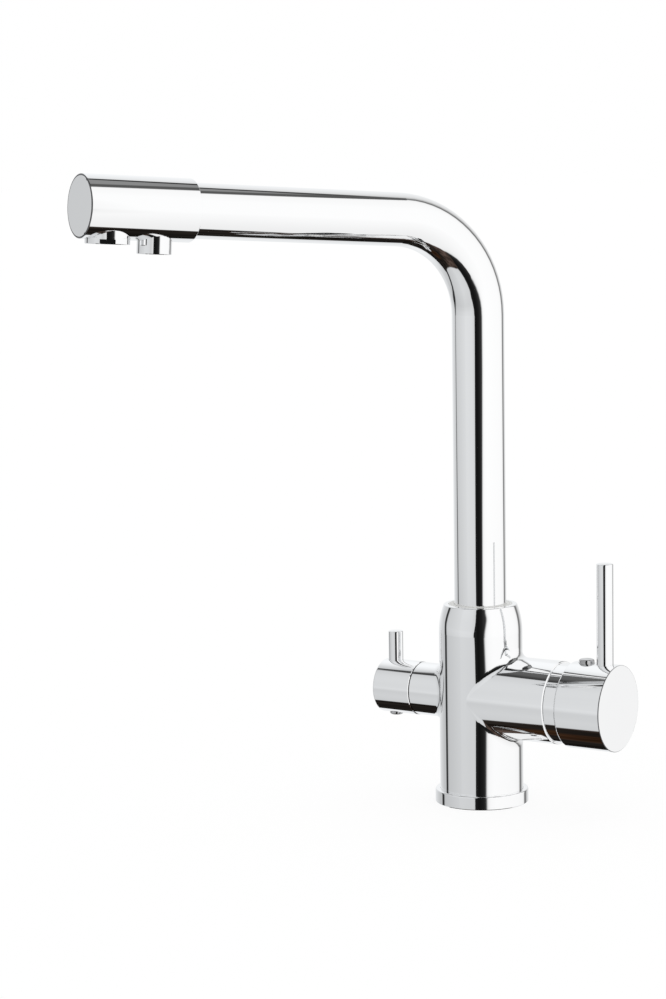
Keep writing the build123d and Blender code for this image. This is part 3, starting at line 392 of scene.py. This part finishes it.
def buildFloor(settings):
    floor = addSheet("studioFloor", settings["size"])
    material, tree = newStudioMaterial("studioPaper")
    diffuse = wire(tree, addNode(tree, "ShaderNodeBsdfDiffuse"), {"Color": (*settings["colour"], 1.0)})
    rays = addNode(tree, "ShaderNodeLightPath").outputs
    seen = maths(tree, "MAXIMUM", rays["Is Camera Ray"], rays["Is Glossy Ray"])
    seen = maths(tree, "MAXIMUM", seen, rays["Is Transmission Ray"])
    shine = maths(tree, "MULTIPLY", seen, settings["glow"])
    glow = wire(tree, addNode(tree, "ShaderNodeEmission"), {"Strength": shine})
    both = addNode(tree, "ShaderNodeAddShader")
    for socket, value in zip(both.inputs, (diffuse, glow)):
        put(tree, value, socket)
    endTree(tree, both.outputs[0])
    floor.data.materials.append(material)
    floor.visible_glossy = False


buildWorld()
buildPanels(studio, ceilingCard)
buildGap(gapSheet)
buildTable(tableCard)
buildFloor(paper)
print("studio built")

arm = {  # the spout's arm, in metres, for the worn edge at its end
    "turn": math.radians(240.85),
    "rise": math.radians(3.3),
    "bend": 0.0514,
    "height": 0.3152,
    "end": 0.1786,
    "rounded": 0.00038,  # length of the rounded edge
}
armAcross = Vector((math.cos(arm["turn"]), math.sin(arm["turn"]), 0))
armTowards = armAcross * math.cos(arm["rise"]) + Vector((0, 0, math.sin(arm["rise"])))
armFoot = armAcross * arm["bend"] * (1 - math.sin(arm["rise"])) + Vector((0, 0, arm["height"]))
armEnd = armFoot.dot(armTowards) + arm["end"]

tubeChrome = {
    "metal": 1.0, "dark": (0.974, 0.977, 0.982), "light": (0.987, 0.989, 0.991), "rough": (0.014, 0.030),
    "patch": 14.0, "grain": 1200.0, "bump": 0.005, "depth": 0.00001, "streak": (1.0, 1.0, 0.2),
}
handleChrome = {
    "metal": 1.0, "dark": (0.970, 0.974, 0.980), "light": (0.985, 0.987, 0.990), "rough": (0.016, 0.034),
    "patch": 22.0, "grain": 1300.0, "bump": 0.006, "depth": 0.00001, "streak": (0.3, 1.0, 1.0),
}
headEdgeShade = {  # the rounded end edge, where a dark line of painted shade runs
    "towards": armTowards, "start": armEnd - arm["rounded"], "soft": 0.0001, "colour": (0.16, 0.16, 0.165),
}
capEdgeShade = {  # the front edge on the side of the spout, where a dark line of painted shade runs
    "towards": (1.0, -0.02, 0.0), "start": 0.08318, "soft": 0.0001, "colour": (0.20, 0.20, 0.205),
    "across": (0.0, 1.0, 1.0), "centre": (0.0, 0.0, 0.0584), "rim": 0.02265,
}

finishes = {  # patch and grain are the scales of two noises, depth is in metres, streak stretches the grain
    "chromeCasting": {
        "metal": 1.0, "dark": (0.970, 0.974, 0.980), "light": (0.985, 0.987, 0.990), "rough": (0.018, 0.040),
        "patch": 18.0, "grain": 900.0, "bump": 0.010, "depth": 0.00002, "streak": (1.0, 1.0, 1.0)},
    "chromeTube": tubeChrome,
    "chromeHead": {**tubeChrome, "edge": headEdgeShade},
    "chromeTrim": {
        "metal": 1.0, "dark": (0.968, 0.972, 0.978), "light": (0.984, 0.986, 0.990), "rough": (0.018, 0.038),
        "patch": 30.0, "grain": 1500.0, "bump": 0.008, "depth": 0.00001, "streak": (1.0, 1.0, 1.0)},
    "chromeHandle": handleChrome,
    "chromeCap": {**handleChrome, "edge": capEdgeShade},
    # the plugs' chrome is set darker than the rest, as painted shade
    "chromePlug": {
        "metal": 1.0, "dark": (0.40, 0.40, 0.405), "light": (0.66, 0.66, 0.665), "rough": (0.030, 0.070),
        "patch": 320.0, "grain": 1500.0, "bump": 0.020, "depth": 0.00002, "streak": (1.0, 1.0, 1.0)},
    "brass": {
        "metal": 1.0, "dark": (0.62, 0.44, 0.18), "light": (0.80, 0.61, 0.30), "rough": (0.22, 0.42),
        "patch": 60.0, "grain": 2200.0, "bump": 0.12, "depth": 0.00006, "streak": (1.0, 1.0, 6.0)},
    "steel": {
        "metal": 1.0, "dark": (0.46, 0.46, 0.47), "light": (0.62, 0.62, 0.63), "rough": (0.20, 0.36),
        "patch": 90.0, "grain": 2600.0, "bump": 0.10, "depth": 0.00004, "streak": (1.0, 1.0, 5.0)},
    "blackRubber": {
        "metal": 0.0, "dark": (0.012, 0.012, 0.013), "light": (0.030, 0.030, 0.032), "rough": (0.62, 0.86),
        "patch": 80.0, "grain": 3200.0, "bump": 0.20, "depth": 0.00005, "streak": (1.0, 1.0, 1.0)},
    "whitePlastic": {
        "metal": 0.0, "dark": (0.74, 0.74, 0.72), "light": (0.84, 0.84, 0.82), "rough": (0.34, 0.48),
        "patch": 50.0, "grain": 2600.0, "bump": 0.06, "depth": 0.00003, "streak": (1.0, 1.0, 1.0)},
    "greyPlastic": {
        "metal": 0.0, "dark": (0.34, 0.35, 0.36), "light": (0.44, 0.45, 0.46), "rough": (0.36, 0.52),
        "patch": 60.0, "grain": 2600.0, "bump": 0.06, "depth": 0.00003, "streak": (1.0, 1.0, 1.0)},
    "hosePlastic": {
        "metal": 0.0, "dark": (0.62, 0.63, 0.64), "light": (0.74, 0.75, 0.76), "rough": (0.30, 0.44),
        "patch": 40.0, "grain": 2000.0, "bump": 0.05, "depth": 0.00003, "streak": (1.0, 1.0, 1.0)},
    "ceramic": {
        "metal": 0.0, "dark": (0.78, 0.77, 0.74), "light": (0.88, 0.87, 0.84), "rough": (0.12, 0.22),
        "patch": 120.0, "grain": 3600.0, "bump": 0.03, "depth": 0.00002, "streak": (1.0, 1.0, 1.0)},
}

texture = {  # the same in every finish
    "patchDetail": 3.0,
    "grainDetail": 2.0,
    "tones": (0.30, 0.70),  # of the patch noise: where the dark tone ends and the light one begins
    "patchShare": 0.6,  # of the two noises in the wear, which sets the roughness
    "grainShare": 0.4,
    "wear": (0.35, 0.65),  # from the least roughness to the most
}


def paintedEdgeShade(tree, place, edge):  # where the painted edge shade goes: 1 past a plane and, where a rim is given, also beyond that radius
    along = vectorMaths(tree, "DOT_PRODUCT", place, edge["towards"], gives="Value")
    edgeShade = step(tree, along, edge["start"], edge["soft"])
    if "rim" in edge:
        flat = vectorMaths(tree, "MULTIPLY_ADD", place, edge["across"], -Vector(edge["centre"]))
        radius = vectorMaths(tree, "LENGTH", flat, gives="Value")
        edgeShade = product(tree, edgeShade, step(tree, radius, edge["rim"], edge["soft"]))
    return edgeShade


def makeFinish(name, look):
    material = bpy.data.materials.new(name)
    tree = newTree(material)
    place = objectPlace(tree)
    stretched = wire(tree, addNode(tree, "ShaderNodeMapping"), {"Vector": place, "Scale": look["streak"]})
    patch = noise(tree, place, look["patch"], texture["patchDetail"])
    grain = noise(tree, stretched, look["grain"], texture["grainDetail"])
    colour = ramp(tree, patch, list(zip(texture["tones"], (look["dark"], look["light"]))))
    # a dark line of painted shade along an edge, where the finish has one
    if "edge" in look:
        colour = blend(tree, paintedEdgeShade(tree, place, look["edge"]), colour, (*look["edge"]["colour"], 1.0))
    wear = maths(tree, "MULTIPLY", grain, texture["grainShare"])
    wear = maths(tree, "MULTIPLY_ADD", patch, texture["patchShare"], wear)
    bump = wire(tree, addNode(tree, "ShaderNodeBump"),
                {"Strength": look["bump"], "Distance": look["depth"], "Height": grain})
    endTree(tree, wire(tree, addNode(tree, "ShaderNodeBsdfPrincipled"), {
        "Metallic": look["metal"],
        "Base Color": colour,
        "Roughness": spread(tree, wear, texture["wear"], look["rough"]),
        "Normal": bump,
    }))
    return material


finishOf = {
    "chromeCasting": ["tap_body"],
    "chromeTube": ["spout_tube"],
    "chromeHead": ["spout_head"],
    "chromePlug": ["mixer_cap_plug", "filter_knob_plug"],
    "chromeTrim": ["base_ring", "head_end_cap", "aerator_ring", "filter_nozzle", "cartridge_cover_ring"],
    "chromeCap": ["mixer_handle_cap"],
    "chromeHandle": ["mixer_lever_rod", "filter_knob", "filter_lever_rod"],
    "brass": ["inlet_block", "swivel_foot", "filter_spigot", "cartridge_nut", "filter_headwork",
              "filter_spindle"],
    "steel": ["spout_retaining_screw", "cartridge_pivot_pin", "cartridge_stem", "mixer_grub_screw",
              "filter_grub_screw", "spindle_clip"],
    "blackRubber": ["seat_gasket", "swivel_seals", "spigot_seal", "aerator_washer", "nozzle_seal",
                    "cartridge_port_seals", "filter_end_seal", "spindle_seal"],
    "whitePlastic": ["upper_bearing", "cartridge_housing"],
    "greyPlastic": ["aerator_insert", "nozzle_insert", "cartridge_rotor", "cartridge_disc_slider"],
    "hosePlastic": ["filter_hose"],
    "ceramic": ["cartridge_fixed_disc", "cartridge_moving_disc", "filter_fixed_disc", "filter_moving_disc"],
}


def dress(piece, material):
    for slot in piece.material_slots:
        slot.material = material
    if not piece.material_slots:
        piece.data.materials.append(material)


dressed = set()
materials = {name: makeFinish(name, look) for name, look in finishes.items()}
for name, nodes in finishOf.items():
    for node in nodes:
        dress(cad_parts[node], materials[name])
        dressed.add(node)
print("finishes on", len(dressed), "nodes, left bare:", sorted(set(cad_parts) - dressed))
